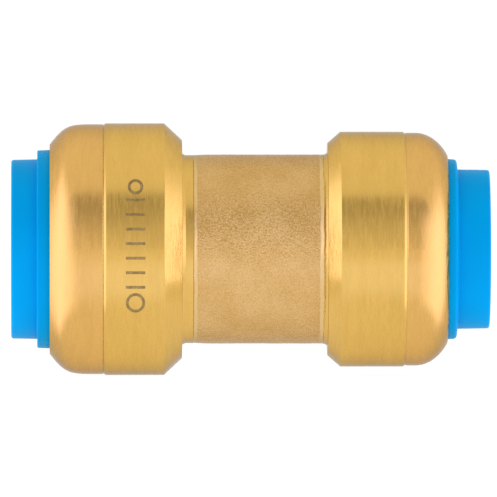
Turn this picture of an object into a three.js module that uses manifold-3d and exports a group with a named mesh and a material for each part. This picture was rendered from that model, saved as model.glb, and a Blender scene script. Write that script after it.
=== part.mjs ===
// Reducing push-fit coupling for copper pipe: an 18 mm socket on the -X side and a 15 mm
// socket on the +X side. Millimetres. The pipe axis is X, +Z is up, and the origin is on the
// pipe axis at the middle of the overall length.
import * as THREE from "three";
import { mergeVertices } from "three/addons/utils/BufferGeometryUtils.js";
import Module from "manifold-3d";

const wasm = await Module();
wasm.setup();

// Driving dimensions. Every length along the axis is measured outwards from the middle.
const SEGMENTS = 36; // sides of every turned piece, the same for all so that they stay nested
const TEETH = 18; // spring teeth of a grab ring
const HALF_LENGTH = 28.45; // middle of the coupling to a release collar's end
const BARREL_RADIUS = 11.3; // forged waist between the two sockets
const NECK_RADIUS = 11.2; // machined band next to each socket
const NECK_LENGTH = 1.15;
const SKIN_SLOPE = 0.2; // where the forged skin steps down to a neck
const FILLET = 0.35; // root of each socket's back face
const STOP_HALF_WIDTH = 1.2; // central rib that both pipes butt against
const STOP_RADIUS = 6.5;
const TRAVEL = 2.0; // how far a release collar presses in

const CLEARANCE = 0.08; // on the radius, between pieces that sit in one another
const AXIAL_GAP = 0.06; // between faces that bear on one another
const PIPE_CLEARANCE = 0.1; // pipe to body bore, on the radius
const SEAL_SECTION = 2.65; // O-ring cord diameter
const SOCKET_WALL = 1.6; // brass outside the cap's skirt
const LIP_HEIGHT = 0.45; // how far a collar's retaining lip stands above the cap's mouth
const LIP_THICKNESS = 0.9;
const SLEEVE_EDGE = 0.3; // rounding of a collar's outer edge
const LEAD_IN = 0.4; // widening of a collar's bore at its mouth
const RING_THICKNESS = 0.35; // grab ring's sheet
const TOOTH_LEAN = 30; // degrees that the teeth lean into the socket
const SLOT_WIDTH = 0.8; // between two teeth

const LARGE = {
  name: "18", // nominal pipe size
  side: -1, // which way along X the socket opens
  pipeRadius: 9.0,
  backFace: 8.14,
  backRadius: 12.95, // outer edge of the flat back face
  collarRadius: 15.0,
  seam: 17.51, // where the body ends and the cap begins
  capRadius: 14.87,
  capCurveStart: 18.45,
  capCurveHandles: [3.05, 2.98],
  capEdgeSlope: 53, // degrees from the axis where the curve meets the cap's face
  capFace: 23.88,
  capFaceRadius: 12.46,
  flangeRadius: 11.78,
  flangeFace: 25.36,
  sleeveRadius: 10.66,
};
const SMALL = {
  name: "15",
  side: 1,
  pipeRadius: 7.5,
  backFace: 9.17,
  backRadius: 12.56,
  collarRadius: 14.0,
  seam: 18.0,
  capRadius: 13.86,
  capCurveStart: 19.58,
  capCurveHandles: [2.5, 0.28],
  capEdgeSlope: 68,
  capFace: 23.46,
  capFaceRadius: 11.16,
  flangeRadius: 10.7,
  flangeFace: 24.52,
  sleeveRadius: 9.46,
};

// The fits inside a socket, worked out from its pipe and its outside.
function fitsOf(end) {
  const sealSeat = end.pipeRadius + 2.4;
  const mouth = end.flangeRadius + 0.12;
  const seam = end.seam;
  return {
    pipeBore: end.pipeRadius + PIPE_CLEARANCE,
    sealSeat,
    sealInner: sealSeat - CLEARANCE / 2 - SEAL_SECTION,
    ringPocket: end.pipeRadius + 3.35,
    toothRoot: end.pipeRadius + 2.0,
    toothTip: end.pipeRadius - 0.25, // the teeth bite a pipe of the nominal radius
    skirtPocket: end.collarRadius - SOCKET_WALL,
    mouth,
    lip: mouth + LIP_HEIGHT,
    capInner: mouth + LIP_HEIGHT + 0.1,
    looseBore: end.pipeRadius + 0.2, // of the plastic rings that the pipe slides through
    noseRadius: end.pipeRadius + 1.1,
    floor: seam - 7.96, // bottom of the seal's seat
    pocketStep: seam - 4.6, // shoulder under the protector's rim
    ringFace: seam - 3.5, // inner face of the grab ring's rim
    skirtShoulder: seam - 2.5, // shoulder under the support ring's flange
    skirtEnd: seam - 1.5, // inner end of the cap's skirt
    lipShoulder: end.capFace - 1.58, // inner face of the cap's mouth
  };
}

const brass = { color: 0xd9ae5c, roughness: 0.32, metalness: 1 };
const forgedBrass = { color: 0xc9a163, roughness: 0.5, metalness: 1 };
const blueAcetal = { color: 0x0097e0, roughness: 0.42, metalness: 0 };
const springSteel = { color: 0xc4c6c8, roughness: 0.25, metalness: 1 };
const naturalAcetal = { color: 0xe9e6dc, roughness: 0.5, metalness: 0 };
const rubber = { color: 0x17181a, roughness: 0.75, metalness: 0 };

// A ring turned about the X axis from a closed outline of [along, radius] points. `side` turns
// the outline to face -X or +X.
function turned(outline, side = 1) {
  const points = outline.map(([along, radius]) => new THREE.Vector2(radius, side * along));
  if (THREE.ShapeUtils.area(points) < 0) points.reverse();
  points.push(points[0].clone());
  return new THREE.LatheGeometry(points, SEGMENTS).rotateZ(-Math.PI / 2);
}

// Points of a curve, without its first point, as [along, radius] pairs.
function pointsAfterFirst(curve, steps) {
  return curve.getPoints(steps).slice(1).map((p) => [p.x, p.y]);
}

function circle(along, radius, size, sides) {
  return Array.from({ length: sides }, (_, i) => {
    const angle = (2 * Math.PI * i) / sides;
    return [along + size * Math.cos(angle), radius + size * Math.sin(angle)];
  });
}

function solid(geometry) {
  const bare = geometry.clone();
  bare.deleteAttribute("normal");
  bare.deleteAttribute("uv");
  const merged = mergeVertices(bare, 1e-4);
  return new wasm.Manifold(
    new wasm.Mesh({
      numProp: 3,
      vertProperties: new Float32Array(merged.attributes.position.array),
      triVerts: new Uint32Array(merged.index.array),
    }),
  );
}

function geometryOf(made) {
  const mesh = made.getMesh();
  return new THREE.BufferGeometry()
    .setAttribute("position", new THREE.BufferAttribute(mesh.vertProperties, 3))
    .setIndex(new THREE.BufferAttribute(mesh.triVerts, 1));
}

function part(name, geometry, finish) {
  const material = new THREE.MeshStandardMaterial({ ...finish, flatShading: true });
  const mesh = new THREE.Mesh(geometry, material);
  mesh.name = name;
  return mesh;
}

// Outside of the body from the waist to a socket's open end.
function bodyOutside(end) {
  const chamfer = end.collarRadius - end.backRadius;
  return [
    [end.backFace - NECK_LENGTH - SKIN_SLOPE, BARREL_RADIUS],
    [end.backFace - NECK_LENGTH, NECK_RADIUS],
    [end.backFace - FILLET, NECK_RADIUS],
    [end.backFace, NECK_RADIUS + FILLET],
    [end.backFace, end.backRadius],
    [end.backFace + chamfer, end.collarRadius],
    [end.seam, end.collarRadius],
  ];
}

// Inside of the body from a socket's open end back to the central rib.
function bodyInside(end) {
  const fits = fitsOf(end);
  return [
    [end.seam, fits.skirtPocket],
    [fits.skirtShoulder, fits.skirtPocket],
    [fits.skirtShoulder, fits.ringPocket],
    [fits.pocketStep, fits.ringPocket],
    [fits.pocketStep, fits.sealSeat],
    [fits.floor, fits.sealSeat],
    [fits.floor, fits.pipeBore],
    [STOP_HALF_WIDTH, fits.pipeBore],
    [STOP_HALF_WIDTH, STOP_RADIUS],
  ];
}

function fittingBody() {
  const mirrored = (points) => points.map(([along, radius]) => [-along, radius]).reverse();
  const outline = [
    ...mirrored(bodyOutside(LARGE)),
    ...bodyOutside(SMALL),
    ...bodyInside(SMALL),
    ...mirrored(bodyInside(LARGE)),
  ];
  return part("fitting_body", turned(outline), forgedBrass);
}

// Pressed-in cap: its skirt holds the inner rings down, and its mouth keeps the collar in.
function endCap(end) {
  const fits = fitsOf(end);
  const slope = THREE.MathUtils.degToRad(end.capEdgeSlope);
  const [startHandle, endHandle] = end.capCurveHandles;
  const crown = new THREE.CubicBezierCurve(
    new THREE.Vector2(end.capCurveStart, end.capRadius),
    new THREE.Vector2(end.capCurveStart + startHandle, end.capRadius),
    new THREE.Vector2(
      end.capFace - endHandle * Math.cos(slope),
      end.capFaceRadius + endHandle * Math.sin(slope),
    ),
    new THREE.Vector2(end.capFace, end.capFaceRadius),
  );
  const outline = [
    [fits.skirtEnd, fits.capInner],
    [fits.skirtEnd, fits.skirtPocket - CLEARANCE],
    [end.seam + CLEARANCE, fits.skirtPocket - CLEARANCE],
    [end.seam + CLEARANCE, end.capRadius],
    [end.capCurveStart, end.capRadius],
    ...pointsAfterFirst(crown, 7),
    [end.capFace, fits.mouth],
    [fits.lipShoulder, fits.mouth],
    [fits.lipShoulder, fits.capInner],
  ];
  return part(`end_cap_${end.name}`, turned(outline, end.side), brass);
}

// Thimble that a finger presses in: outer sleeve, flange, retaining lip and a thin nose that
// reaches in to the teeth.
function releaseCollar(end) {
  const fits = fitsOf(end);
  const lipFace = fits.lipShoulder - AXIAL_GAP;
  const lipBack = lipFace - LIP_THICKNESS;
  const noseEnd = toothFaces(end).outerAt(fits.noseRadius) + AXIAL_GAP + TRAVEL;
  const outline = [
    [noseEnd, fits.looseBore],
    [noseEnd, fits.noseRadius],
    [lipBack, fits.noseRadius],
    [lipBack, fits.lip],
    [lipFace, fits.lip],
    [lipFace, end.flangeRadius],
    [end.flangeFace, end.flangeRadius],
    [end.flangeFace, end.sleeveRadius],
    [HALF_LENGTH - SLEEVE_EDGE, end.sleeveRadius],
    [HALF_LENGTH, end.sleeveRadius - SLEEVE_EDGE],
    [HALF_LENGTH, fits.looseBore + LEAD_IN],
    [HALF_LENGTH - 1.5 * LEAD_IN, fits.looseBore],
  ];
  return part(`release_collar_${end.name}`, turned(outline, end.side), blueAcetal);
}

// Along the axis, the two faces of a grab ring's teeth at a given radius.
function toothFaces(end) {
  const fits = fitsOf(end);
  const lean = THREE.MathUtils.degToRad(TOOTH_LEAN);
  const innerAt = (radius) => fits.ringFace - (fits.toothRoot - radius) * Math.tan(lean);
  const outerAt = (radius) => innerAt(radius) + RING_THICKNESS / Math.cos(lean);
  return { innerAt, outerAt };
}

// Sprung steel ring with a flat rim and a coned row of teeth.
function grabRing(end) {
  const fits = fitsOf(end);
  const teeth = toothFaces(end);
  const rim = fits.ringPocket - CLEARANCE;
  const rimFace = fits.ringFace + RING_THICKNESS;
  const outline = [
    [fits.ringFace, rim],
    [fits.ringFace, fits.toothRoot],
    [teeth.innerAt(fits.toothTip), fits.toothTip],
    [teeth.outerAt(fits.toothTip), fits.toothTip],
    [rimFace, fits.toothRoot - RING_THICKNESS * Math.tan(THREE.MathUtils.degToRad(TOOTH_LEAN / 2))],
    [rimFace, rim],
  ];
  let made = solid(turned(outline, end.side));
  const slotDepth = 3; // from inside the tooth tips out to the root
  const slotReach = 5; // more than the ring's own width, so that the slot runs through
  for (let i = 0; i < TEETH; i++) {
    const slot = new THREE.BoxGeometry(slotReach, slotDepth, SLOT_WIDTH);
    slot.translate(end.side * fits.ringFace, fits.toothRoot - 0.2 - slotDepth / 2, 0);
    slot.rotateX(((i + 0.5) * 2 * Math.PI) / TEETH);
    made = made.subtract(solid(slot));
  }
  return part(`grab_ring_${end.name}`, geometryOf(made), springSteel);
}

// Stepped ring between the cap's skirt and the grab ring's rim.
function grabRingSeat(end) {
  const fits = fitsOf(end);
  const face = fits.ringFace + RING_THICKNESS + AXIAL_GAP;
  const shoulder = fits.skirtShoulder + AXIAL_GAP;
  const back = fits.skirtEnd - AXIAL_GAP;
  const bore = end.pipeRadius + 1.5;
  const outline = [
    [face, fits.toothRoot + 0.25],
    [face, fits.ringPocket - CLEARANCE],
    [shoulder, fits.ringPocket - CLEARANCE],
    [shoulder, fits.skirtPocket - CLEARANCE],
    [back, fits.skirtPocket - CLEARANCE],
    [back, bore],
    [face + 0.45, bore],
  ];
  return part(`grab_ring_seat_${end.name}`, turned(outline, end.side), naturalAcetal);
}

// Washer with a coned face: it covers the seal and lets the teeth lean over it.
function sealProtector(end) {
  const fits = fitsOf(end);
  const face = fits.pocketStep - 0.5;
  const step = fits.pocketStep + AXIAL_GAP;
  const rimFace = fits.ringFace - AXIAL_GAP;
  const outline = [
    [face, fits.looseBore],
    [face, fits.sealSeat - CLEARANCE],
    [step, fits.sealSeat - CLEARANCE],
    [step, fits.ringPocket - CLEARANCE],
    [rimFace, fits.ringPocket - CLEARANCE],
    [rimFace, fits.toothRoot + 0.2],
    [face + 0.35, fits.looseBore],
  ];
  return part(`seal_protector_${end.name}`, turned(outline, end.side), naturalAcetal);
}

function sealRing(end) {
  const fits = fitsOf(end);
  const section = SEAL_SECTION / 2;
  const outline = circle(fits.floor + AXIAL_GAP + section, fits.sealInner + section, section, 8);
  return part(`seal_ring_${end.name}`, turned(outline, end.side), rubber);
}

const group = new THREE.Group();
group.add(fittingBody());
for (const end of [LARGE, SMALL]) {
  group.add(
    endCap(end),
    releaseCollar(end),
    grabRingSeat(end),
    grabRing(end),
    sealProtector(end),
    sealRing(end),
  );
}

export default group;
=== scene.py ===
import math

import bpy
from bpy.props import FloatProperty, FloatVectorProperty, IntProperty, PointerProperty
from bpy.types import Operator, Panel, PropertyGroup, Scene
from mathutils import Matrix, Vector


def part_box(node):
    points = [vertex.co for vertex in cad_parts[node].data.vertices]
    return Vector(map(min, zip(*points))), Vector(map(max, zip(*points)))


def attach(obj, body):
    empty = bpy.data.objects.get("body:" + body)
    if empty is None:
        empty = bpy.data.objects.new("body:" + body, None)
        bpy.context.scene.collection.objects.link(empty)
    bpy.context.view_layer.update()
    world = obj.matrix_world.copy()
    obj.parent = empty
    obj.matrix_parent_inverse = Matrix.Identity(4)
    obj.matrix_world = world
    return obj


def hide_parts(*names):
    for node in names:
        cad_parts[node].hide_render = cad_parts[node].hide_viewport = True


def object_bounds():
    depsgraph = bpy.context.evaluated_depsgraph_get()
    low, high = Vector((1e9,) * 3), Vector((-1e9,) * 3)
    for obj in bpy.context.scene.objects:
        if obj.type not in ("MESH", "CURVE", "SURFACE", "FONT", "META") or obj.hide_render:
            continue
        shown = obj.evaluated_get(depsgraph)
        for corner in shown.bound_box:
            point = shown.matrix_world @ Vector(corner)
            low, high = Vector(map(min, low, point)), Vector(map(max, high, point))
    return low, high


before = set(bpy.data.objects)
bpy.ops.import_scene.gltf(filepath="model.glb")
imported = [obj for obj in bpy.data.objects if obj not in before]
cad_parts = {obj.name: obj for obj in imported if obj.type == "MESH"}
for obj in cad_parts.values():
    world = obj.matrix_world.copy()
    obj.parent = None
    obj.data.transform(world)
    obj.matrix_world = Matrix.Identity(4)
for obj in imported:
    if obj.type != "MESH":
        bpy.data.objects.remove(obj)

bl_info = {
    "name": "Push-fit coupling",
    "version": (1, 0, 0),
    "blender": (4, 5, 0),
    "location": "3D View > Sidebar > Coupling",
    "description": "Builds the pieces of a reducing push-fit pipe coupling and its studio",
    "category": "Add Mesh",
}

# The pipe axis is X. The 18 mm socket opens towards -X and the 15 mm socket towards +X.
# Lengths are metres; "along" is a distance from the middle of the coupling towards one end.
MM = 0.001
CAD_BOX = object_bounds()
SIDES = {"18": -1, "15": 1}
AXIS = (1, 0, 0)
MERGE = 1e-6  # closer points than this are one point
SKIN_DEPTH = 0.02 * MM  # room left under the CAD surface for the mark on it
SEAM_DEPTH = 0.18 * MM  # from the collar down to the bottom of the seam with its cap
SMOOTH_ANGLE = math.radians(32)  # faces that meet at less than this shade as one surface
EDGE_TINT = (0.56, 0.56, 0.56, 1)  # what brass reflects when seen nearly edge-on


# Sizes and colours that a user may change ------------------------------


def length(name, description, millimetres):
    return FloatProperty(name=name, description=description, default=millimetres * MM,
                         unit="LENGTH", precision=5)


def colour(name, description, rgb, highest=1.0):
    return FloatVectorProperty(name=name, description=description, default=rgb,
                               subtype="COLOR", size=3, min=0, max=highest)


def level(name, description, value, highest=10.0):
    return FloatProperty(name=name, description=description, default=value, min=0, max=highest)


class CouplingSocket18(PropertyGroup):
    """Outside sizes of the 18 mm end."""

    pipe_radius: length("Pipe radius", "Outside radius of the pipe that fits", 9.0)
    back_face: length("Back face", "From the middle to the collar's back face", 8.14)
    back_radius: length("Back face radius", "Where the back face meets its chamfer", 13.0)
    chamfer: length("Chamfer", "Length of the chamfer along the axis", 2.13)
    collar_radius: length("Collar radius", "Radius of the turned collar", 15.0)
    seam_edge: length("Seam edge", "From the middle to where the collar slopes to its seam", 17.2)
    seam: length("Seam", "From the middle to the bottom of the seam", 17.5)
    seam_far: length("Seam far side", "Length of the cap's slope to the seam", 0.1)
    crown_start: length("Crown start", "From the middle to where the cap starts to round", 18.45)
    crown_flat: length("Crown flat", "Length of the curve's handle on the cap's side", 3.05)
    crown_steep: length("Crown steep", "Length of the curve's handle at the cap's face", 2.98)
    crown_slope: level("Crown slope", "Degrees from the axis at the cap's face", 53, 90)
    crown_radius: length("Cap face radius", "Outer radius of the cap's face", 12.46)
    flange_radius: length("Flange radius", "Radius of the release collar's flange", 11.78)
    flange_face: length("Flange face", "From the middle to the flange's outer face", 25.36)
    flange_edge: length("Flange edge", "Rounding of the flange's outer edge", 0.14)
    flange_cone: length("Flange cone", "How far the flange's face leans out to the sleeve", 0.0)
    sleeve_radius: length("Sleeve radius", "Radius of the release collar's sleeve", 10.66)


class CouplingSocket15(PropertyGroup):
    """Outside sizes of the 15 mm end."""

    pipe_radius: length("Pipe radius", "Outside radius of the pipe that fits", 7.5)
    back_face: length("Back face", "From the middle to the collar's back face", 9.17)
    back_radius: length("Back face radius", "Where the back face meets its chamfer", 12.65)
    chamfer: length("Chamfer", "Length of the chamfer along the axis", 1.52)
    collar_radius: length("Collar radius", "Radius of the turned collar", 14.0)
    seam_edge: length("Seam edge", "From the middle to where the collar slopes to its seam", 18.12)
    seam: length("Seam", "From the middle to the bottom of the seam", 18.42)
    seam_far: length("Seam far side", "Length of the cap's slope to the seam", 0.18)
    crown_start: length("Crown start", "From the middle to where the cap starts to round", 19.58)
    crown_flat: length("Crown flat", "Length of the curve's handle on the cap's side", 2.5)
    crown_steep: length("Crown steep", "Length of the curve's handle at the cap's face", 0.28)
    crown_slope: level("Crown slope", "Degrees from the axis at the cap's face", 68, 90)
    crown_radius: length("Cap face radius", "Outer radius of the cap's face", 11.16)
    flange_radius: length("Flange radius", "Radius of the release collar's flange", 10.7)
    flange_face: length("Flange face", "From the middle to the flange's outer face", 24.52)
    flange_edge: length("Flange edge", "Rounding of the flange's outer edge", 0.4)
    flange_cone: length("Flange cone", "How far the flange's face leans out to the sleeve", 0.12)
    sleeve_radius: length("Sleeve radius", "Radius of the release collar's sleeve", 9.46)


class CouplingWaist(PropertyGroup):
    """Sizes of the forged middle of the body."""

    radius: length("Waist radius", "Radius of the forged waist", 11.25)
    dip: length("Dip", "How far the waist falls away at its 18 mm end", 0.07)
    neck_radius_18: length("Neck radius 18", "Radius of the turned band at the 18 mm end", 11.2)
    neck_radius_15: length("Neck radius 15", "Radius of the turned band at the 15 mm end", 11.28)
    neck_18: length("Neck 18", "Length of the turned band at the 18 mm end", 1.3)
    neck_15: length("Neck 15", "Length of the turned band at the 15 mm end", 0.5)
    flare: length("Flare", "Length of the cone between a neck and its collar", 0.4)
    flare_rise: length("Flare rise", "How far that cone widens", 0.2)
    rim: length("Rim", "Width of the raised rim at each end of the waist", 0.46)
    rim_height: length("Rim height", "How far a rim stands up at the front", 0.17)
    stop_half_width: length("Stop half width", "Half the width of the rib the pipes meet", 1.2)
    stop_radius: length("Stop bore", "Bore radius of that rib", 6.5)
    skin_offset: length("Skin offset", "How far the forging sits off the turned axis", 0.09)
    skin_tilt: level("Skin tilt", "Degrees above the horizontal of that offset", 9, 90)
    grain_depth: length("Grain depth", "Depth of the blasted grain", 0.03)
    grain_size: length("Grain size", "Width of one grain", 0.5)
    rag: length("Ragged edge", "How far the waist's rim wanders", 0.16)


class CouplingInside(PropertyGroup):
    """Sizes inside the coupling that are the same at both ends."""

    slack: length("Slack", "Room round a ring in its socket", 0.08)
    gap: length("Gap", "Room between two pieces along the axis", 0.06)
    pipe_room: length("Pipe room", "Room between the pipe and the body", 0.1)
    seat_depth: length("Seat depth", "From the seat's outer face in to its shoulder", 1.0)
    seal_step: length("Seal step", "From the washer's inner face to its shoulder", 0.5)
    mouth_room: length("Mouth room", "Room between a flange and its cap", 0.12)
    lip_room: length("Lip room", "How much wider a cap is behind its mouth", 0.55)
    lip_depth: length("Lip depth", "From a cap's face in to the collar's lip", 1.58)
    lip: length("Lip", "Thickness of that lip", 0.9)
    collar_room: length("Collar room", "Room between the pipe and a plastic ring", 0.2)
    nose: length("Nose", "From the pipe to the outside of a collar's nose", 1.1)
    lead_in: length("Lead-in", "Length of the chamfer at a collar's mouth", 0.6)
    lead_in_depth: length("Lead-in depth", "How much wider the collar is there", 0.4)
    draft: length("Draft", "How far a moulded face leans", 0.03)
    tooth: length("Tooth", "From the pipe to the root of the teeth", 2.0)
    bite: length("Bite", "How far the teeth reach into the pipe's place", 0.25)
    sheet: length("Sheet", "Thickness of a grab ring", 0.35)


class CouplingFinish(PropertyGroup):
    """Colours of the finishes."""

    brass: colour("Turned brass", "Collars, chamfers and caps", (0.72, 0.44, 0.105))
    # The caps are the same brass as the collars. This tint raises the blue and lowers the green a
    # little so that their highlights come out whiter: a painted highlight tint.
    crown: colour("Cap crown", "Brass of the rounded caps, tinted to paint whiter highlights", (0.72, 0.415, 0.115))
    forged_dull: colour("Forged brass, dull", "Pits of the waist", (0.585, 0.34, 0.10))
    forged_bright: colour("Forged brass, bright", "Grains of the waist", (0.71, 0.448, 0.172))
    rim: colour("Rim brass", "Smooth rims of the waist", (0.70, 0.475, 0.19))
    blue: colour("Blue acetal", "Release collars", (0.0, 0.303, 0.59))
    steel: colour("Spring steel", "Grab rings", (0.62, 0.62, 0.63))
    natural: colour("Natural acetal", "Inner plastic rings", (0.80, 0.77, 0.68))
    rubber: colour("Rubber", "Seal rings", (0.018, 0.018, 0.02))
    mark: colour("Laser mark", "Laser mark on the larger collar", (0.29, 0.19, 0.06))


class CouplingStudio(PropertyGroup):
    """Camera and light."""

    distance: length("Camera distance", "From lens to coupling", 2000)
    view_width: length("View width", "Width that the picture takes in at the coupling", 59.17)
    aim_along: length("Aim along", "Where the picture's centre is along the axis", -0.21)
    aim_up: length("Aim up", "Where the picture's centre is above the axis", 0.077)
    turn: level("Camera turn", "Degrees that the camera stands to the 18 mm side", 0.64)
    white: level("White", "Brightness of the room", 1.0)
    table: level("Table", "Brightness of the floor's own glow", 0.9)
    front_tint: colour("Front tint", "Glow of the floor in front", (1.15, 1.2, 1.5), 4)
    under_tint: colour("Under tint", "Glow of the floor under the waist", (1.08, 1.11, 1.24), 4)
    side_tint: colour("Side tint", "Brightness of the panels at both sides", (1.9, 1.9, 2.7), 4)
    gap: level("Gap", "Brightness just under the overhead panel's front edge", 0.55)


class CouplingSettings(PropertyGroup):
    """All settings of the coupling."""

    socket_18: PointerProperty(type=CouplingSocket18)
    socket_15: PointerProperty(type=CouplingSocket15)
    waist: PointerProperty(type=CouplingWaist)
    inside: PointerProperty(type=CouplingInside)
    finish: PointerProperty(type=CouplingFinish)
    studio: PointerProperty(type=CouplingStudio)
    turned_steps: IntProperty(name="Steps", description="Sides of a turned piece",
                              default=256, min=32, max=512)
    body_steps: IntProperty(name="Body steps", description="Sides of the body",
                            default=320, min=64, max=512)


def socket(context, size):
    return getattr(context.scene.coupling, "socket_" + size)


class Reach:
    """Where a CAD node lies in its socket: from `inner` to `outer` along, out to `radius`."""

    def __init__(self, node, side):
        low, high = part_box(node)
        ends = sorted((side * low.x, side * high.x))
        self.inner, self.outer = ends
        self.radius = high.z


# Shaders ------------------------------


class Value:
    """A number in a shader. Arithmetic on it adds Math nodes."""

    def __init__(self, shader, output):
        self.shader = shader
        self.output = output

    def math(self, operation, *operands):
        made = self.shader.node("ShaderNodeMath", {"operation": operation},
                                dict(enumerate(operands)))
        return Value(self.shader, made.outputs[0])

    def __add__(self, other):
        return self.math("ADD", self, other)

    def __sub__(self, other):
        return self.math("SUBTRACT", self, other)

    def __rsub__(self, other):
        return self.math("SUBTRACT", other, self)

    def __mul__(self, other):
        return self.math("MULTIPLY", self, other)

    def __truediv__(self, other):
        return self.math("DIVIDE", self, other)

    def __neg__(self):
        return self.math("MULTIPLY", self, -1.0)

    def __abs__(self):
        return self.math("ABSOLUTE", self)

    def root(self):
        return self.math("SQRT", self)

    def at_least(self, least):
        return self.math("MAXIMUM", self, least)

    def angle_from(self, across):
        """The angle whose tangent is this over `across`."""
        return self.math("ARCTAN2", self, across)

    def rise(self, start, end):
        """0 below `start`, 1 above `end`, and a smooth step between them."""
        made = self.shader.node("ShaderNodeMapRange", {"interpolation_type": "SMOOTHSTEP"},
                                {"Value": self, "From Min": start, "From Max": end})
        return Value(self.shader, made.outputs["Result"])

    def ramp(self, start, end):
        """0 below `start`, 1 above `end`, and a straight line between them."""
        made = self.shader.node("ShaderNodeMapRange", {"clamp": True},
                                {"Value": self, "From Min": start, "From Max": end})
        return Value(self.shader, made.outputs["Result"])

    def blend(self, low, high):
        """`low` where this is 0 and `high` where it is 1."""
        return self * (high - low) + low


class Shader:
    """The node tree of a material or of the world."""

    def __init__(self, owner):
        owner.use_nodes = True
        self.tree = owner.node_tree
        self.tree.nodes.clear()

    def node(self, kind, settings=None, inputs=None):
        made = self.tree.nodes.new(kind)
        for name, value in (settings or {}).items():
            setattr(made, name, value)
        for name, value in (inputs or {}).items():
            if isinstance(value, Value):
                value = value.output
            if isinstance(value, bpy.types.NodeSocket):
                self.tree.links.new(value, made.inputs[name])
            else:
                made.inputs[name].default_value = value
        return made

    def axes(self, output):
        split = self.node("ShaderNodeSeparateXYZ", inputs={0: output})
        return [Value(self, split.outputs[i]) for i in range(3)]

    def vector(self, x, y, z):
        return self.node("ShaderNodeCombineXYZ", inputs={0: x, 1: y, 2: z}).outputs[0]

    def noise(self, where, scale, detail=2.0, roughness=0.5):
        made = self.node("ShaderNodeTexNoise", inputs={
            "Vector": where, "Scale": scale, "Detail": detail, "Roughness": roughness})
        return Value(self, made.outputs["Fac"])

    def mix(self, factor, low, high):
        """One colour where the factor is 0 and another where it is 1."""
        made = self.node("ShaderNodeMix", {"data_type": "RGBA"}, {0: factor, 6: low, 7: high})
        return made.outputs[2]

    def bump(self, height, depth):
        """A normal that follows a height of 0 to 1, which stands for that depth."""
        made = self.node("ShaderNodeBump",
                         inputs={"Height": height, "Distance": depth, "Strength": 1.0})
        return made.outputs["Normal"]


def rgba(rgb, gain=1.0):
    """A colour with its alpha, made lighter or darker."""
    return (*(min(1.0, channel * gain) for channel in rgb), 1.0)


def new_material(name, **principled):
    """A material with a Principled surface, and the shader that it is built in."""
    material = bpy.data.materials.new(name)
    shader = Shader(material)
    surface = shader.node("ShaderNodeBsdfPrincipled")
    for socket_name, value in principled.items():
        surface.inputs[socket_name.replace("_", " ")].default_value = value
    shader.node("ShaderNodeOutputMaterial", inputs={"Surface": surface.outputs[0]})
    shader.place = shader.node("ShaderNodeTexCoord").outputs["Object"]

    def connect(**links):
        """Links values to the surface's inputs by name."""
        for socket_name, value in links.items():
            output = value.output if isinstance(value, Value) else value
            shader.tree.links.new(output, surface.inputs[socket_name.replace("_", " ")])

    return material, shader, connect


def around(shader):
    """Position as distance along the axis, angle round it and distance from it."""
    x, y, z = shader.axes(shader.place)
    return x, z.angle_from(y), (y * y + z * z).root()


def turned_brass(name, tint):
    """Brass from a lathe: fine tool lines round the axis, broken into short streaks."""
    material, shader, connect = new_material(name, Metallic=1.0, Specular_Tint=EDGE_TINT)
    x, angle, radius = around(shader)
    fine = shader.noise(shader.vector(x * 3600, angle * 7, radius * 3600), 1.0, roughness=0.7)
    broad = shader.noise(shader.vector(x * 1100, angle * 1.5, radius * 1100), 1.0)
    cloud = shader.noise(shader.place, 160.0, detail=3.0)
    streak = fine * 0.65 + broad * 0.35
    shade = streak * 0.8 + cloud * 0.2
    connect(
        Base_Color=shader.mix(shade.rise(0.34, 0.66), rgba(tint, 0.95), rgba(tint, 1.05)),
        Roughness=(fine * 0.7 + cloud * 0.3).rise(0.3, 0.7).blend(0.12, 0.32),
        Normal=shader.bump(streak, 0.02 * MM),
    )
    return material


def forged_brass(dull, bright):
    """Hot-forged, shot-blasted brass: a sandy skin whose grains differ in gloss and tone."""
    material, shader, connect = new_material(
        "forged brass", Metallic=1.0, Specular_Tint=EDGE_TINT)
    grain = shader.noise(shader.place, 4300.0, roughness=0.6)
    pits = shader.noise(shader.place, 6000.0, detail=1.0)
    cloud = shader.noise(shader.place, 260.0, detail=3.0)
    shade = grain * 0.5 + pits * 0.2 + cloud * 0.3
    connect(
        Base_Color=shader.mix(shade.rise(0.38, 0.62), rgba(dull), rgba(bright)),
        Roughness=grain.rise(0.41, 0.59).blend(0.05, 0.46),
        Normal=shader.bump(grain * 0.7 + pits * 0.3, 0.15 * MM),
    )
    return material


def moulded_plastic(name, tint, roughness, gloss, orange_peel):
    """Injection moulded plastic with a faint waviness."""
    material, shader, connect = new_material(
        name, Metallic=0.0, IOR=1.48, Specular_IOR_Level=gloss)
    wave = shader.noise(shader.place, 900.0)
    cloud = shader.noise(shader.place, 120.0)
    connect(
        Base_Color=shader.mix(cloud.rise(0.3, 0.7), rgba(tint, 0.96), rgba(tint, 1.03)),
        Roughness=wave.blend(roughness - 0.05, roughness + 0.05),
        Normal=shader.bump(wave, orange_peel),
    )
    return material


def spring_steel(tint):
    """Bright rolled stainless sheet."""
    material, shader, connect = new_material("spring steel", Metallic=1.0)
    x, angle, radius = around(shader)
    rolled = shader.noise(shader.vector(x * 3000, angle * 60, radius * 9000), 1.0)
    connect(
        Base_Color=shader.mix(rolled, rgba(tint, 0.9), rgba(tint, 1.08)),
        Roughness=rolled.blend(0.18, 0.32),
        Normal=shader.bump(rolled, 0.004 * MM),
    )
    return material


def greased_rubber(tint):
    """Black seal rubber with a thin film of grease."""
    material, shader, connect = new_material("seal rubber", Metallic=0.0, IOR=1.5)
    film = shader.noise(shader.place, 700.0)
    connect(
        Base_Color=shader.mix(film, rgba(tint, 0.8), rgba(tint, 1.3)),
        Roughness=film.blend(0.28, 0.5),
        Normal=shader.bump(film, 0.01 * MM),
    )
    return material


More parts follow.
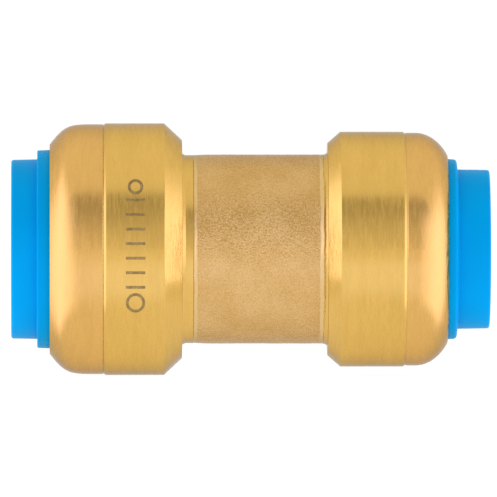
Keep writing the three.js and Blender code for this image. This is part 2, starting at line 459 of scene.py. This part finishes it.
def laser_mark(tint):
    """Brass darkened by a laser, a little rougher than its surroundings."""
    material, shader, connect = new_material("laser mark", Metallic=0.75)
    dots = shader.noise(shader.place, 2400.0)
    connect(
        Base_Color=shader.mix(dots.rise(0.3, 0.7), rgba(tint, 0.85), rgba(tint, 1.3)),
        Roughness=dots.blend(0.42, 0.6),
        Normal=shader.bump(dots, 0.01 * MM),
    )
    return material


def finish_named(context, name):
    """The material of that name, made the first time it is asked for."""
    tints = context.scene.coupling.finish
    makers = {
        "turned brass": (turned_brass, "turned brass", tints.brass),
        # crown brass: turned brass in the caps' tint, which paints whiter highlights on them.
        "crown brass": (turned_brass, "crown brass", tints.crown),
        "rim brass": (turned_brass, "rim brass", tints.rim),
        "forged brass": (forged_brass, tints.forged_dull, tints.forged_bright),
        "blue acetal": (moulded_plastic, "blue acetal", tints.blue, 0.4, 0.02, 0.004 * MM),
        "natural acetal": (moulded_plastic, "natural acetal", tints.natural, 0.5, 0.4,
                           0.01 * MM),
        "spring steel": (spring_steel, tints.steel),
        "seal rubber": (greased_rubber, tints.rubber),
        "laser mark": (laser_mark, tints.mark),
    }
    maker, *settings = makers[name]
    return bpy.data.materials.get(name) or maker(*settings)


# Outlines ------------------------------


def rounded(corners):
    """A closed outline from (along, radius) corners. A third number rounds a corner off.

    A point is kept just outside each rounding, so that the flat beside it shades flat.
    """
    points = []
    count = len(corners)
    for i, corner in enumerate(corners):
        here = Vector(corner[:2])
        rounding = corner[2] if len(corner) > 2 else 0.0
        if not rounding:
            points.append(here)
            continue
        back = Vector(corners[i - 1][:2]) - here
        ahead = Vector(corners[(i + 1) % count][:2]) - here
        half = back.angle(ahead) / 2
        reach = rounding / math.tan(half)
        guard = min(0.4 * rounding, 0.25 * (min(back.length, ahead.length) - reach))
        back.normalize()
        ahead.normalize()
        centre = here + (back + ahead).normalized() * (rounding / math.sin(half))
        start, end = here + back * reach - centre, here + ahead * reach - centre
        sweep = start.angle(end)
        coarsest = 15 if rounding > 0.15 * MM else 30  # degrees that one step may turn
        steps = max(2, math.ceil(math.degrees(sweep) / coarsest))
        if guard > 0:
            points.append(here + back * (reach + guard))
        for step in range(steps + 1):
            share = step / steps
            arm = start * math.sin((1 - share) * sweep) + end * math.sin(share * sweep)
            points.append(centre + arm / math.sin(sweep))
        if guard > 0:
            points.append(here + ahead * (reach + guard))
    return points


def bezier(start, start_handle, end_handle, end, steps):
    """Points of a cubic curve after its start."""
    points = []
    for i in range(1, steps + 1):
        t = i / steps
        weights = ((1 - t) ** 3, 3 * t * (1 - t) ** 2, 3 * t * t * (1 - t), t ** 3)
        places = (start, start_handle, end_handle, end)
        points.append(tuple(sum(w * p[k] for w, p in zip(weights, places)) for k in (0, 1)))
    return points


def circle(along, radius, size, sides):
    """Points round a circle of that size, whose centre is at (along, radius)."""
    turns = (2 * math.pi * i / sides for i in range(sides))
    return [Vector((along + size * math.cos(a), radius + size * math.sin(a))) for a in turns]


def edit(obj):
    """Puts one object in edit mode, with all of it selected."""
    bpy.ops.object.select_all(action="DESELECT")
    bpy.context.view_layer.objects.active = obj
    obj.select_set(True)
    bpy.ops.object.mode_set(mode="EDIT")
    bpy.ops.mesh.select_all(action="SELECT")


def leave_edit():
    bpy.ops.object.mode_set(mode="OBJECT")


def select_points(obj, wanted):
    """In edit mode, selects the points whose place passes the test, with their edges."""
    leave_edit()
    for part in (obj.data.polygons, obj.data.edges):
        for item in part:
            item.select = False
    for vertex in obj.data.vertices:
        vertex.select = wanted(vertex.co)
    bpy.ops.object.mode_set(mode="EDIT")
    bpy.ops.mesh.select_mode(type="VERT")


def drawn(name, points, side=1):
    """A closed loop of edges in the XZ plane, extruded point by point."""
    bpy.ops.object.select_all(action="DESELECT")
    bpy.ops.mesh.primitive_plane_add(size=MM)
    obj = bpy.context.object
    obj.name = obj.data.name = name
    edit(obj)
    bpy.ops.mesh.merge(type="CENTER")
    here = Vector((0, 0))
    for i, point in enumerate([*points, points[0]]):
        step = {"value": (side * (point[0] - here[0]), 0, point[1] - here[1])}
        if i:
            bpy.ops.mesh.extrude_vertices_move(TRANSFORM_OT_translate=step)
        else:
            bpy.ops.transform.translate(**step)
        here = point
    bpy.ops.mesh.select_all(action="SELECT")
    bpy.ops.mesh.remove_doubles(threshold=MERGE)
    return obj


def spun(obj, steps):
    """Turns a drawn outline round the pipe axis into a closed solid."""
    bpy.ops.mesh.select_all(action="SELECT")
    bpy.ops.mesh.spin(steps=steps, angle=2 * math.pi, center=(0, 0, 0), axis=AXIS)
    bpy.ops.mesh.select_all(action="SELECT")
    bpy.ops.mesh.remove_doubles(threshold=MERGE)
    bpy.ops.mesh.normals_make_consistent(inside=False)
    bpy.ops.mesh.select_all(action="DESELECT")
    bpy.ops.mesh.select_non_manifold()
    leave_edit()
    if any(vertex.select for vertex in obj.data.vertices):
        raise RuntimeError(obj.name + " is not one closed surface")
    bpy.ops.object.shade_smooth_by_angle(angle=SMOOTH_ANGLE)
    return obj


def turned(name, points, side, steps):
    """A solid of revolution round the pipe axis, at one end of the coupling."""
    return spun(drawn(name, points, side), steps)


def apply_modifier(obj, modifier):
    """Applies a modifier of that object alone."""
    bpy.ops.object.select_all(action="DESELECT")
    bpy.context.view_layer.objects.active = obj
    obj.select_set(True)
    bpy.ops.object.modifier_apply(modifier=modifier.name)


def displaced(obj, name, group, size, depth, direction):
    """Moves the points of a group by a cloudy pattern whose lumps have the given size."""
    clouds = bpy.data.textures.new(name, "CLOUDS")
    clouds.noise_scale, clouds.noise_depth = size, 2
    move = obj.modifiers.new(name, "DISPLACE")
    move.texture, move.texture_coords = clouds, "LOCAL"
    move.vertex_group, move.direction = group, direction
    move.mid_level, move.strength = 0.5, depth
    apply_modifier(obj, move)
    bpy.data.textures.remove(clouds)


def put_in_place(piece, body, node, slot, *materials):
    """Gives a piece its finishes and its body, and hides the CAD node it stands for."""
    for material in materials:
        piece.data.materials.append(material)
    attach(piece, body)
    if node:
        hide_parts(node)


# Pieces ------------------------------


class CouplingOperator(Operator):
    """Base of the operators that build the coupling."""

    bl_options = {"REGISTER", "UNDO"}

    def execute(self, context):
        self.build(context)
        return {"FINISHED"}


def body_outside(context, size):
    """Corners of the body from the foot of the waist's rim out to the seam, on one side."""
    end, waist = socket(context, size), context.scene.coupling.waist
    collar = end.collar_radius - SKIN_DEPTH
    neck, neck_radius = getattr(waist, "neck_" + size), getattr(waist, "neck_radius_" + size)
    return [
        (end.back_face - neck, neck_radius, 0.04 * MM),
        (end.back_face - waist.flare, neck_radius, 0.04 * MM),
        (end.back_face, neck_radius + waist.flare_rise, 0.03 * MM),
        (end.back_face, end.back_radius, 0.05 * MM),
        (end.back_face + end.chamfer, collar, 0.12 * MM),
        (end.seam_edge, collar, 0.1 * MM),
        (end.seam, collar - SEAM_DEPTH),
    ]


def body_inside(context, size):
    """Corners of the body from the seam back in to the rib that stops the pipe."""
    coupling, side = context.scene.coupling, SIDES[size]
    end, waist, inside = socket(context, size), coupling.waist, coupling.inside
    seat = Reach("grab_ring_seat_" + size, side)
    cover = Reach("seal_protector_" + size, side)
    seal = Reach("seal_ring_" + size, side)
    skirt, pocket = seat.radius + inside.slack, cover.radius + inside.slack
    shoulder = seat.outer + inside.gap - inside.seat_depth
    step = cover.inner + inside.seal_step
    groove, floor = seal.radius + inside.slack / 2, seal.inner - inside.gap
    bore = end.pipe_radius + inside.pipe_room
    return [
        (end.seam, skirt, 0.1 * MM),
        (shoulder, skirt, 0.05 * MM),
        (shoulder, pocket, 0.05 * MM),
        (step, pocket, 0.05 * MM),
        (step, groove, 0.1 * MM),
        (floor, groove, 0.12 * MM),
        (floor, bore, 0.2 * MM),
        (waist.stop_half_width, bore, 0.15 * MM),
        (waist.stop_half_width, waist.stop_radius, 0.2 * MM),
    ]


def mirrored(corners):
    """The same corners for the other end, in the order that goes on round the outline."""
    return [(-corner[0], *corner[1:]) for corner in reversed(corners)]


class COUPLING_OT_body(CouplingOperator):
    """Builds the brass body: blasted waist, turned necks and collars, stepped sockets"""

    bl_idname = "coupling.body"
    bl_label = "Body"

    row_gap: length("Row gap", "Distance between rows of points on the waist", 0.15)

    def build(self, context):
        waist = context.scene.coupling.waist
        foot = 0.04 * MM  # the rims' feet stand this far from the necks
        low = waist.neck_18 - socket(context, "18").back_face + foot
        high = socket(context, "15").back_face - waist.neck_15 - foot
        skin = [(low, waist.radius - waist.dip), (low + 1 * MM, waist.radius - 0.3 * waist.dip),
                (low + 2 * MM, waist.radius), (high, waist.radius)]
        points = rounded([
            *mirrored(body_outside(context, "18")), *skin, *body_outside(context, "15"),
            *body_inside(context, "15"), *mirrored(body_inside(context, "18")),
        ])
        obj = drawn("coupling_body", points)
        for start, end in zip(skin, skin[1:]):
            self.select_skin(waist, obj, start[0], end[0])
            bpy.ops.mesh.subdivide(number_cuts=int((end[0] - start[0]) / self.row_gap))
        spun(obj, context.scene.coupling.body_steps)
        for name in ("turned brass", "forged brass", "rim brass"):
            obj.data.materials.append(finish_named(context, name))
        self.forge(waist, obj, low, high)
        put_in_place(obj, "housing", "fitting_body", "forged_brass")

    def select_skin(self, waist, obj, start, end, but_between=None):
        """Selects the waist's outer points from start to end, but not those of an inner part."""
        outer = 0.93 * waist.radius  # the bores are well inside this

        def wanted(point):
            if but_between and but_between[0] < point.x < but_between[1]:
                return False
            return start - MERGE < point.x < end + MERGE and point.yz.length > outer

        select_points(obj, wanted)

    def forge(self, waist, obj, low, high):
        """Gives the waist its own finish, its offset from the turned axis, grain and rims."""
        edit(obj)
        self.select_skin(waist, obj, low, high)
        obj.active_material_index = 1
        bpy.ops.object.material_slot_assign()
        tilt = math.radians(waist.skin_tilt)
        bpy.ops.transform.translate(
            value=(0, -waist.skin_offset * math.cos(tilt), waist.skin_offset * math.sin(tilt)))
        bpy.ops.object.vertex_group_assign_new()
        skin = obj.vertex_groups.active.name
        for inset in (MERGE, waist.rim / 3 + MERGE, waist.rim * 2 / 3 + MERGE):
            self.select_skin(waist, obj, low, high, (low + inset, high - inset))
            bpy.ops.transform.translate(value=(0, -waist.rim_height / 3, 0))
        self.select_skin(waist, obj, low, high, (low + waist.rim, high - waist.rim))
        obj.active_material_index = 2
        bpy.ops.object.material_slot_assign()
        bpy.ops.object.vertex_group_assign_new()
        rims = obj.vertex_groups.active.name
        leave_edit()
        displaced(obj, "lumps", skin, 4 * waist.grain_size, waist.grain_depth, "NORMAL")
        displaced(obj, "grain", skin, waist.grain_size, waist.grain_depth, "NORMAL")
        displaced(obj, "ragged rims", rims, 2.2 * waist.grain_size, waist.rag, "X")
        obj.vertex_groups.clear()


class COUPLING_OT_caps(CouplingOperator):
    """Builds the rounded brass caps, with the skirts that hold the inner rings down"""

    bl_idname = "coupling.caps"
    bl_label = "End caps"

    def build(self, context):
        inside, steps = context.scene.coupling.inside, context.scene.coupling.turned_steps
        for size, side in SIDES.items():
            end = socket(context, size)
            cap = Reach("end_cap_" + size, side)
            floor = end.seam + 0.01 * MM  # the bottom of the seam, just clear of the body
            skirt = Reach("grab_ring_seat_" + size, side).radius
            mouth = end.flange_radius + inside.mouth_room
            inner = mouth + inside.lip_room
            shoulder = cap.outer - inside.lip_depth
            slope = math.radians(end.crown_slope)
            crown = bezier(
                (end.crown_start, cap.radius),
                (end.crown_start + end.crown_flat, cap.radius),
                (cap.outer - end.crown_steep * math.cos(slope),
                 end.crown_radius + end.crown_steep * math.sin(slope)),
                (cap.outer, end.crown_radius),
                32,
            )
            points = rounded([
                (cap.inner, inner, 0.1 * MM),
                (cap.inner, skirt, 0.1 * MM),
                (floor, skirt),
                (floor, end.collar_radius - SKIN_DEPTH - SEAM_DEPTH),
                (floor + end.seam_far, cap.radius, 0.08 * MM),
                (end.crown_start, cap.radius),
                *crown[:-1],
                (*crown[-1], 0.05 * MM),
                (cap.outer, mouth, 0.08 * MM),
                (shoulder, mouth, 0.06 * MM),
                (shoulder, inner, 0.1 * MM),
            ])
            obj = turned("rounded_cap_" + size, points, side, steps)
            # The caps take the brass whose tint paints whiter highlights on them.
            put_in_place(obj, "housing", "end_cap_" + size, "turned_brass",
                         finish_named(context, "crown brass"))


class COUPLING_OT_collars(CouplingOperator):
    """Builds the blue release collars: sleeve, flange, retaining lip and nose"""

    bl_idname = "coupling.collars"
    bl_label = "Release collars"

    def build(self, context):
        inside, steps = context.scene.coupling.inside, context.scene.coupling.turned_steps
        draft = inside.draft
        for size, side in SIDES.items():
            end = socket(context, size)
            collar = Reach("release_collar_" + size, side)
            cap = Reach("end_cap_" + size, side)
            bore, nose = end.pipe_radius + inside.collar_room, end.pipe_radius + inside.nose
            lip_face = cap.outer - inside.lip_depth - inside.gap
            lip_back = lip_face - inside.lip
            points = rounded([
                (collar.inner, bore, 0.15 * MM),
                (collar.inner, nose, 0.3 * MM),
                (lip_back, nose, 0.2 * MM),
                (lip_back, collar.radius, 0.25 * MM),
                (lip_face, collar.radius, 0.08 * MM),
                (lip_face, end.flange_radius, 0.05 * MM),
                (cap.outer, end.flange_radius + draft),
                (end.flange_face, end.flange_radius - draft, end.flange_edge),
                (end.flange_face + end.flange_cone, end.sleeve_radius + draft, 0.1 * MM),
                (collar.outer, end.sleeve_radius - draft, 0.3 * MM),
                (collar.outer, bore + inside.lead_in_depth, 0.2 * MM),
                (collar.outer - inside.lead_in, bore, 0.3 * MM),
            ])
            obj = turned("blue_collar_" + size, points, side, steps)
            put_in_place(obj, "collar_" + size, "release_collar_" + size, "blue_acetal",
                         finish_named(context, "blue acetal"))


class COUPLING_OT_inner_rings(CouplingOperator):
    """Builds the plastic rings inside: grab ring seats and seal protectors"""

    bl_idname = "coupling.inner_rings"
    bl_label = "Seats and protectors"

    def build(self, context):
        inside, steps = context.scene.coupling.inside, context.scene.coupling.turned_steps
        for size, side in SIDES.items():
            pipe = socket(context, size).pipe_radius
            root, bore = pipe + inside.tooth, pipe + inside.collar_room
            seat = Reach("grab_ring_seat_" + size, side)
            cover = Reach("seal_protector_" + size, side)
            seal = Reach("seal_ring_" + size, side)
            shoulder = seat.outer - inside.seat_depth + 2 * inside.gap
            opening, web = pipe + 1.5 * MM, 0.45 * MM  # the seat's bore, and where it starts
            points = rounded([
                (seat.inner, root + 0.25 * MM, 0.08 * MM),
                (seat.inner, cover.radius, 0.06 * MM),
                (shoulder, cover.radius),
                (shoulder, seat.radius, 0.06 * MM),
                (seat.outer, seat.radius, 0.1 * MM),
                (seat.outer, opening, 0.15 * MM),
                (seat.inner + web, opening, 0.1 * MM),
            ])
            obj = turned("ring_seat_" + size, points, side, steps)
            put_in_place(obj, "housing", "grab_ring_seat_" + size, "natural_acetal",
                         finish_named(context, "natural acetal"))
            step = cover.inner + inside.seal_step + inside.gap
            spigot = seal.radius - inside.slack / 2
            edge = 0.35 * MM  # length of the washer's bore
            points = rounded([
                (cover.inner, bore, 0.08 * MM),
                (cover.inner, spigot, 0.08 * MM),
                (step, spigot),
                (step, cover.radius, 0.06 * MM),
                (cover.outer, cover.radius, 0.08 * MM),
                (cover.outer, root + 0.2 * MM, 0.1 * MM),
                (cover.inner + edge, bore, 0.08 * MM),
            ])
            obj = turned("seal_washer_" + size, points, side, steps)
            put_in_place(obj, "housing", "seal_protector_" + size, "natural_acetal",
                         finish_named(context, "natural acetal"))


class COUPLING_OT_seals(CouplingOperator):
    """Builds the rubber O-rings"""

    bl_idname = "coupling.seals"
    bl_label = "Seal rings"

    def build(self, context):
        for size, side in SIDES.items():
            seal = Reach("seal_ring_" + size, side)
            section = (seal.outer - seal.inner) / 2
            points = circle(seal.inner + section, seal.radius - section, section, 32)
            obj = turned("o_ring_" + size, points, side, context.scene.coupling.turned_steps)
            put_in_place(obj, "housing", "seal_ring_" + size, "seal_rubber",
                         finish_named(context, "seal rubber"))


def slot_cutter(along, top, width, count):
    """Thin blocks set round the axis, which cut the gaps between the teeth."""
    bpy.ops.object.select_all(action="DESELECT")
    thick, depth = 5 * MM, 3 * MM
    bpy.ops.mesh.primitive_cube_add(size=1, location=(along, 0, top - depth / 2))
    cutter = bpy.context.object
    edit(cutter)
    bpy.ops.transform.resize(value=(thick, width, depth))
    step = 2 * math.pi / count
    bpy.ops.transform.rotate(value=step / 2, orient_axis="X", center_override=(0, 0, 0))
    for _ in range(count - 1):
        bpy.ops.mesh.duplicate()
        bpy.ops.transform.rotate(value=step, orient_axis="X", center_override=(0, 0, 0))
    leave_edit()
    return cutter


class COUPLING_OT_grab_rings(CouplingOperator):
    """Builds the steel grab rings: a flat rim and a coned row of teeth"""

    bl_idname = "coupling.grab_rings"
    bl_label = "Grab rings"

    teeth: IntProperty(name="Teeth", description="Teeth of a ring", default=18, min=6, max=40)
    lean: level("Lean", "Degrees that the teeth lean into the coupling", 30, 60)
    slot: length("Slot", "Width of the gaps between the teeth", 0.8)
    steps: IntProperty(name="Steps", description="Sides of a ring", default=180, min=32, max=512)

    def build(self, context):
        inside, lean = context.scene.coupling.inside, math.radians(self.lean)
        point, slot_end = 0.12 * MM, 0.2 * MM  # length of a tooth's bevel, and of its uncut root
        for size, side in SIDES.items():
            pipe = socket(context, size).pipe_radius
            ring = Reach("grab_ring_" + size, side)
            root, tip = pipe + inside.tooth, pipe - inside.bite
            face = ring.outer - inside.sheet
            tip_face = face - (root - tip) * math.tan(lean)
            shoulder = tip_face + point * math.tan(lean) + inside.sheet / math.cos(lean)
            points = rounded([
                (face, ring.radius, 0.05 * MM),
                (face, root, 0.3 * MM),
                (tip_face, tip),
                (shoulder, tip + point, 0.05 * MM),
                (ring.outer, root - inside.sheet * math.tan(lean / 2), 0.3 * MM),
                (ring.outer, ring.radius, 0.05 * MM),
            ])
            obj = turned("toothed_ring_" + size, points, side, self.steps)
            cutter = slot_cutter(side * face, root - slot_end, self.slot, self.teeth)
            cut = obj.modifiers.new("slots", "BOOLEAN")
            cut.operation, cut.solver, cut.object = "DIFFERENCE", "EXACT", cutter
            apply_modifier(obj, cut)
            bpy.data.objects.remove(cutter)
            edit(obj)
            bpy.ops.mesh.remove_doubles(threshold=MERGE)
            leave_edit()
            bpy.ops.object.shade_smooth_by_angle(angle=SMOOTH_ANGLE)
            put_in_place(obj, "grip_" + size, "grab_ring_" + size, "spring_steel",
                         finish_named(context, "spring steel"))


class COUPLING_OT_mark(CouplingOperator):
    """Builds the laser mark on the larger collar: plain rings and bars"""

    bl_idname = "coupling.mark"
    bl_label = "Mark"

    along: length("Along", "From the middle to the mark's centre line", 13.72)
    low: length("Low end", "Height of its lower end", -7.5)
    high: length("High end", "Height of its upper end", 8.3)
    width: length("Width", "Width of its bars", 2.3)
    stroke: length("Stroke", "Width of a line", 0.34)
    bars: IntProperty(name="Bars", description="Bars between the rings", default=7, min=2, max=12)
    wall: length("Wall", "Thickness of the mark", 0.03)
    proud: length("Proud", "How far the mark stands off the collar", 0.006)

    def ladder(self, first, last):
        """One bar, copied at even steps up to the last."""
        bpy.ops.mesh.primitive_plane_add(size=1, location=(0, 0, first),
                                         rotation=(math.pi / 2, 0, 0))
        ladder = bpy.context.object
        edit(ladder)
        bpy.ops.transform.resize(value=(self.width, 1, self.stroke))
        bpy.ops.mesh.subdivide(number_cuts=3)
        step = (last - first) / (self.bars - 1)
        for _ in range(self.bars - 1):
            bpy.ops.mesh.duplicate()
            bpy.ops.transform.translate(value=(0, 0, step))
        leave_edit()
        return ladder

    def ring(self, height, radius):
        """A flat ring that faces the front."""
        bpy.ops.mesh.primitive_circle_add(vertices=40, radius=radius, fill_type="NGON",
                                          location=(0, 0, height), rotation=(math.pi / 2, 0, 0))
        ring = bpy.context.object
        edit(ring)
        bpy.ops.mesh.inset(thickness=self.stroke)
        bpy.ops.mesh.delete(type="FACE")
        leave_edit()
        return ring

    def build(self, context):
        bpy.ops.object.select_all(action="DESELECT")
        collar = socket(context, "18").collar_radius
        large, small = 0.5 * self.width, 0.4 * self.width  # radii of the rings
        bottom, top = self.low + large, self.high - small
        shapes = [self.ring(bottom, large), self.ring(top, small),
                  self.ladder(bottom + 1.6 * large, top - 1.7 * small)]
        for shape in shapes:
            shape.select_set(True)
        bpy.context.view_layer.objects.active = shapes[0]
        bpy.ops.object.join()
        mark = bpy.context.object
        mark.name = mark.data.name = "collar_mark"
        clear = 1.1 * collar  # in front of the collar, before it is laid on
        bpy.ops.transform.translate(value=(-self.along, -clear, 0))
        bpy.ops.object.transform_apply(location=True, rotation=True, scale=True)
        wrap = mark.modifiers.new("wrap", "SHRINKWRAP")
        wrap.target, wrap.wrap_method = bpy.data.objects["coupling_body"], "PROJECT"
        wrap.use_project_y, wrap.use_negative_direction = True, True
        wrap.use_positive_direction, wrap.offset = True, self.proud
        apply_modifier(mark, wrap)
        wall = mark.modifiers.new("wall", "SOLIDIFY")
        wall.thickness, wall.offset = self.wall, -1
        apply_modifier(mark, wall)
        put_in_place(mark, "housing", None, "forged_brass", finish_named(context, "laser mark"))


def side_glow(sideways, backwards):
    """Full straight out at both sides, fading to none in front of the coupling and behind."""
    return sideways.ramp(0.2, 1.0) * (1 - backwards.rise(0.15, 0.5))


class COUPLING_OT_stage(CouplingOperator):
    """Sets the floor, the light and the camera"""

    bl_idname = "coupling.stage"
    bl_label = "Studio"

    def build(self, context):
        studio = context.scene.coupling.studio
        self.floor(context, studio)
        self.light(context, studio)
        self.camera(context, studio)
        context.scene.view_settings.view_transform = "Standard"

    def floor(self, context, studio):
        """A white light table, brighter out at both sides."""
        bpy.ops.object.select_all(action="DESELECT")
        bpy.ops.mesh.primitive_plane_add(size=8, location=(0, 0, CAD_BOX[0].z))
        plane = context.object
        plane.name = "floor"
        bpy.ops.object.transform_apply(location=True, rotation=True, scale=True)
        material, shader, connect = new_material(
            "white floor", Roughness=0.9, Metallic=0.0, Specular_IOR_Level=0.0,
            Emission_Strength=1.0)
        x, y, _ = shader.axes(shader.place)
        corner_x, corner_y = 18 * MM, -8 * MM  # the side glow spreads out from here
        beside, behind = (abs(x) - corner_x).at_least(0.0), y - corner_y
        reach = (beside * beside + behind * behind).root()
        sides = side_glow(beside / reach, behind / reach) * reach.rise(8 * MM, 16 * MM)
        near = (-y).rise(17 * MM, 28 * MM) * (1 - (-y).rise(45 * MM, 120 * MM))
        off_waist = abs(y + 4 * MM).rise(12 * MM, 30 * MM)
        under = (1 - abs(x).rise(6 * MM, 14 * MM)) * (1 - off_waist)
        plain, bright, glow, lit = (
            (*(studio.table * part for part in tint), 1)
            for tint in ((1, 1, 1), studio.under_tint, studio.front_tint, studio.side_tint))
        shade = shader.noise(shader.place, 6.0, detail=1.0)
        connect(
            Base_Color=shader.mix(shade, (0.14, 0.14, 0.14, 1), (0.16, 0.16, 0.16, 1)),
            Emission_Color=shader.mix(
                sides, shader.mix(near, shader.mix(under, plain, bright), glow), lit),
        )
        plane.data.materials.append(material)

    def light(self, context, studio):
        """Soft light all round: a long window in front, and a panel at each side."""
        world = bpy.data.worlds.new("studio")
        context.scene.world = world
        shader = Shader(world)
        x, y, z = shader.axes(shader.node("ShaderNodeTexCoord").outputs["Generated"])
        height = z.angle_from(-y) * (180 / math.pi)  # degrees above the horizon, to the front
        window = height.rise(2, 44).blend(0.88, studio.gap)
        front = height.rise(50, 56).blend(window, 1.0)
        room = y.rise(-0.05, 0.05).blend(front, 1.02)
        off_level = abs(z) + x.at_least(0.0) * 0.2  # the +X panel is less tall
        panels = side_glow(abs(x), y) * (1 - off_level.rise(0.45, 0.85))
        white = shader.vector(room, room, room)
        sky = shader.node("ShaderNodeBackground", inputs={
            "Color": shader.mix(panels, white, (*studio.side_tint, 1)), "Strength": studio.white})
        shader.node("ShaderNodeOutputWorld", inputs={"Surface": sky.outputs[0]})

    def camera(self, context, studio):
        turn = math.radians(studio.turn)
        aim = Vector((studio.aim_along, 0, studio.aim_up))
        away = Vector((-math.sin(turn), -math.cos(turn), 0)) * studio.distance
        bpy.ops.object.camera_add(location=aim + away, rotation=(math.pi / 2, 0, -turn))
        camera = context.object
        camera.name = "camera"
        camera.data.sensor_width = 36
        camera.data.lens = camera.data.sensor_width * studio.distance / studio.view_width
        camera.data.clip_start, camera.data.clip_end = 0.1, 20
        camera.data.dof.use_dof = False
        context.scene.camera = camera


class COUPLING_PT_panel(Panel):
    """Lists the builders in the sidebar"""

    bl_label = "Push-fit coupling"
    bl_idname = "COUPLING_PT_panel"
    bl_space_type = "VIEW_3D"
    bl_region_type = "UI"
    bl_category = "Coupling"

    def draw(self, context):
        for operator in OPERATORS:
            self.layout.operator(operator.bl_idname)


OPERATORS = (
    COUPLING_OT_body,
    COUPLING_OT_caps,
    COUPLING_OT_collars,
    COUPLING_OT_inner_rings,
    COUPLING_OT_grab_rings,
    COUPLING_OT_seals,
    COUPLING_OT_mark,
    COUPLING_OT_stage,
)
CLASSES = (
    CouplingSocket18,
    CouplingSocket15,
    CouplingWaist,
    CouplingInside,
    CouplingFinish,
    CouplingStudio,
    CouplingSettings,
    *OPERATORS,
    COUPLING_PT_panel,
)


def register():
    for cls in CLASSES:
        bpy.utils.register_class(cls)
    Scene.coupling = PointerProperty(type=CouplingSettings)


def unregister():
    del Scene.coupling
    for cls in reversed(CLASSES):
        bpy.utils.unregister_class(cls)


def main():
    register()
    bpy.ops.coupling.body()
    bpy.ops.coupling.caps()
    bpy.ops.coupling.collars()
    bpy.ops.coupling.inner_rings()
    bpy.ops.coupling.grab_rings()
    bpy.ops.coupling.seals()
    bpy.ops.coupling.mark()
    bpy.ops.coupling.stage()


if __name__ == "__main__":
    main()
